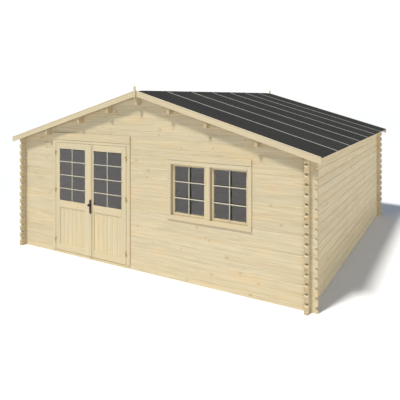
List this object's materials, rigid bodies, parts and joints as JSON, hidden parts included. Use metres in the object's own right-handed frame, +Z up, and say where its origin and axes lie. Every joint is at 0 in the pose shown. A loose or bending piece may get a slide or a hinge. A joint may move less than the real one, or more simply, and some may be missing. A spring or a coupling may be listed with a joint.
{
  "type": "log garden shed",
  "caption": "Square garden shed of interlocking timber logs with a low felted gable roof, part-glazed double doors and a double window in the gable front.",
  "frame": {"origin": "centre of the plan, on the ground under the building", "axes": "+Z up, +X to the right along the front, the front gable looks to -Y"},
  "size_m": [5.51, 5.446, 2.784],
  "materials": {
    "log_wood": "untreated planed spruce logs with knots and fine grain",
    "roof_wood": "untreated spruce boards and purlins",
    "trim_wood": "planed spruce trim boards",
    "frame_wood": "planed spruce joinery",
    "panel_wood": "vertical tongue-and-groove spruce boards",
    "felt": "dark mineral roofing felt with lapped strips",
    "glass": "clear window glass",
    "hinge_metal": "yellow passivated steel",
    "lock_metal": "dark brown coated metal"
  },
  "bodies": {
    "shed": {"front_logs_left": "log_wood", "front_logs_under_window": "log_wood", "front_logs_pier": "log_wood", "front_logs_right": "log_wood", "front_logs_over_window": "log_wood", "front_gable_logs": "log_wood", "left_wall_logs": "log_wood", "right_wall_logs": "log_wood", "back_wall_logs": "log_wood", "back_gable_logs": "log_wood", "roof_boards_left": "roof_wood", "roof_boards_right": "roof_wood", "felt_left": "felt", "felt_right": "felt", "ridge_purlin": "roof_wood", "purlins": "roof_wood", "bargeboards": "trim_wood", "verge_strips": "trim_wood", "eave_boards": "trim_wood", "finials": "trim_wood", "door_jambs": "frame_wood", "door_head": "frame_wood", "door_threshold": "frame_wood", "door_trim": "trim_wood", "jamb_hinges": "hinge_metal", "window_jambs": "frame_wood", "window_rails": "frame_wood", "window_trim": "trim_wood", "sash_stiles": "frame_wood", "sash_rails": "frame_wood", "window_glass": "glass", "floor_boards": "roof_wood", "floor_bearers": "roof_wood"},
    "left_leaf": {"left_leaf_stiles": "frame_wood", "left_leaf_rails": "frame_wood", "left_leaf_panel": "panel_wood", "left_leaf_glass": "glass", "left_leaf_hinges": "hinge_metal"},
    "right_leaf": {"right_leaf_stiles": "frame_wood", "right_leaf_rails": "frame_wood", "right_leaf_panel": "panel_wood", "right_leaf_glass": "glass", "right_leaf_hinges": "hinge_metal", "meeting_strip": "trim_wood", "lock_plates": "lock_metal", "door_knob": "lock_metal"},
    "lever": {"inside_lever": "lock_metal"}
  },
  "joints": [
    {"name": "left_leaf_hinge", "type": "hinge", "parent": "shed", "child": "left_leaf", "pos_m": [-1.77, -2.609, 1], "axis": [0, 0, -1], "range_deg": [0, 120]},
    {"name": "right_leaf_hinge", "type": "hinge", "parent": "shed", "child": "right_leaf", "pos_m": [-0.252, -2.609, 1], "axis": [0, 0, 1], "range_deg": [0, 120]},
    {"name": "lever_turn", "type": "hinge", "parent": "right_leaf", "child": "lever", "pos_m": [-0.973, -2.54, 0.889], "axis": [0, 1, 0], "range_deg": [0, 40], "stiffness_Nm_per_rad": 1.5, "springref_deg": -11.46}
  ]
}
